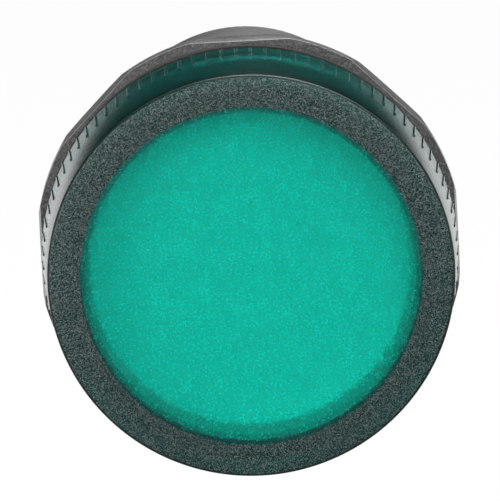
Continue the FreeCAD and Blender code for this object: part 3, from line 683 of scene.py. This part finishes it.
dress(lens, *lens_finishes.values())
for polygon in lens.data.polygons:
    polygon.material_index = finish_order.index(lens_finish(polygon))
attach(lens, "lens")
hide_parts("lens_cap")

# Stage: a pale floor well below and an even sky, both white to the camera and through glass.
# Gloss mirrors the white floor, and a sky that darkens upwards.

FLOOR_DROP = 140 * MM
FLOOR_SIZE = 24
FLOOR_TONE = (0.85, 0.85, 0.85, 1)
FLOOR_CLOUD = (0.833, 0.833, 0.833, 1)
FLOOR_WHITE = 0.93
SKY_LIGHT = 0.75
SKY_LEAN = -0.05
SKY_FADE = {"From Min": -0.06, "From Max": 0.12, "To Min": 1, "To Max": 0.02}
WHITE = (1, 1, 1, 1)


def floor_paint():
    """Pale paint with a faint cloudiness that shows nearly white to camera, gloss and glass."""
    material, tree, shader = new_material("floor_white")
    set_inputs(shader, {"Roughness": 0.9, "Specular IOR Level": 0})
    cloud = add_node(tree, "TexNoise", {"Scale": 30})
    shade = add_node(tree, "Mix", {"A": FLOOR_TONE, "B": FLOOR_CLOUD}, data_type="RGBA")
    glow = add_node(tree, "Emission")
    ray = add_node(tree, "LightPath")
    seen = add_node(tree, "Math", operation="MAXIMUM")
    seen_through = add_node(tree, "Math", operation="MAXIMUM")
    part = add_node(tree, "Math", {1: FLOOR_WHITE}, operation="MULTIPLY")
    blend = add_node(tree, "MixShader")
    join(
        tree,
        (cloud, "Fac", shade, "Factor"),
        (shade, "Result", shader, "Base Color"),
        (ray, "Is Camera Ray", seen, 0),
        (ray, "Is Glossy Ray", seen, 1),
        (seen, "Value", seen_through, 0),
        (ray, "Is Transmission Ray", seen_through, 1),
        (seen_through, "Value", part, 0),
        (part, "Value", blend, "Fac"),
        (shader, "BSDF", blend, 1),
        (glow, "Emission", blend, 2),
        (blend, "Shader", tree.nodes["Material Output"], "Surface"),
    )
    return material


def light_sky(tree):
    """An even sky that is white to camera and glass; gloss mirrors a sky that darkens upwards."""
    plain = tree.nodes["Background"]
    set_inputs(plain, {"Color": WHITE, "Strength": SKY_LIGHT})
    white = add_node(tree, "Background", {"Color": WHITE, "Strength": 1})
    paper = add_node(tree, "Background", {"Color": WHITE})
    ray = add_node(tree, "LightPath")
    place = add_node(tree, "TexCoord")
    parts = add_node(tree, "SeparateXYZ")
    lean = add_node(tree, "Math", {1: SKY_LEAN}, operation="MULTIPLY_ADD")
    fade = add_node(tree, "MapRange", SKY_FADE, interpolation_type="SMOOTHSTEP")
    seen = add_node(tree, "Math", operation="MAXIMUM")
    mirrored = add_node(tree, "MixShader")
    blend = add_node(tree, "MixShader")
    join(
        tree,
        (place, "Generated", parts, "Vector"),
        (parts, "X", lean, 0),
        (parts, "Z", lean, 2),
        (lean, "Value", fade, "Value"),
        (fade, "Result", paper, "Strength"),
        (ray, "Is Glossy Ray", mirrored, "Fac"),
        (plain, "Background", mirrored, 1),
        (paper, "Background", mirrored, 2),
        (ray, "Is Camera Ray", seen, 0),
        (ray, "Is Transmission Ray", seen, 1),
        (seen, "Value", blend, "Fac"),
        (mirrored, "Shader", blend, 1),
        (white, "Background", blend, 2),
        (blend, "Shader", tree.nodes["World Output"], "Surface"),
    )


clear_selection()
bpy.ops.mesh.primitive_plane_add(size=FLOOR_SIZE, location=(0, 0, -FLOOR_DROP))
floor = bpy.context.object
floor.name = "floor"
dress(floor, floor_paint())

world = bpy.data.worlds.new("studio")
bpy.context.scene.world = world
world.use_nodes = True
light_sky(world.node_tree)

# Grey cards: one lies in front and another stands behind the camera, which doesn't see them.
# The face reflects them, so its gloss stays dark.

CARD_TONE = (0.12, 0.12, 0.12, 1)
LOW_CARD_SPOT = (0, -0.44, 1 * MM - FLOOR_DROP)
LOW_CARD_SIZE = (1.8, 1.56)
FRONT_CARD_SPOT = (0, -1.0, 0.1)
FRONT_CARD_SIZE = (1.4, 0.5)

card_grey, _, card_shader = new_material("card_grey")
set_inputs(card_shader, {"Base Color": CARD_TONE, "Specular IOR Level": 0})


def grey_card(name, spot, size, tilt):
    """A card of some width and depth that the camera doesn't see."""
    clear_selection()
    bpy.ops.mesh.primitive_plane_add(size=1, location=spot, rotation=(tilt, 0, 0))
    card = bpy.context.object
    card.name = name
    card.scale = (*size, 1)
    card.visible_camera = False
    dress(card, card_grey)


grey_card("low_card", LOW_CARD_SPOT, LOW_CARD_SIZE, 0)
grey_card("front_card", FRONT_CARD_SPOT, FRONT_CARD_SIZE, math.radians(90))

# Lamps: square and soft, one at each side in front, and one above and behind for the rims.

LAMP_SIZE = 0.4
LAMPS = {
    "lamp_left": {"spot": (-0.52, -0.7, -0.02), "power": 2.9},
    "lamp_right": {"spot": (0.24, -0.8, 0.34), "power": 2.9},
    "lamp_top": {"spot": (0.1, 0.4, 0.55), "power": 4.0},
}


def soft_lamp(name, spot, power):
    """A square soft lamp that points at the origin."""
    data = bpy.data.lights.new(name, "AREA")
    data.shape = "SQUARE"
    data.size = LAMP_SIZE
    data.energy = power
    lamp = bpy.data.objects.new(name, data)
    bpy.context.collection.objects.link(lamp)
    lamp.location = spot
    lamp.rotation_euler = (-Vector(spot)).to_track_quat("-Z", "Y").to_euler()


for name, lamp in LAMPS.items():
    soft_lamp(name, **lamp)

# Camera: the distance, tilt and framing that make the outlines meet those in the photograph.

PHOTO_HIGH = 501
PHOTO_MIDDLE = (250.0, 250.5)
FACE_PIXEL = (251.4, 276.8)
FOCAL_PIXELS = 7883
FACE_DISTANCE = 539.6 * MM
LOOK_DOWN = math.radians(10.5)
LOOK_RIGHT = math.radians(0.54)
SENSOR = 36

camera_data = bpy.data.cameras.new("camera")
camera = bpy.data.objects.new("camera", camera_data)
bpy.context.collection.objects.link(camera)
camera_data.sensor_fit = "VERTICAL"
camera_data.sensor_height = SENSOR
camera_data.lens = FOCAL_PIXELS * SENSOR / PHOTO_HIGH
camera_data.clip_start = 0.01
camera_data.clip_end = 100
camera.rotation_euler = (math.radians(90) - LOOK_DOWN, 0, -LOOK_RIGHT)
turn = camera.rotation_euler.to_matrix()
pixel = FACE_DISTANCE / FOCAL_PIXELS
face_seen = Vector((
    (FACE_PIXEL[0] - PHOTO_MIDDLE[0]) * pixel,
    -(FACE_PIXEL[1] - PHOTO_MIDDLE[1]) * pixel,
    -FACE_DISTANCE,
))
camera.location = Vector((0, face_y, 0)) - turn @ face_seen
bpy.context.scene.camera = camera
bpy.context.scene.view_settings.view_transform = "Standard"

clear_selection()
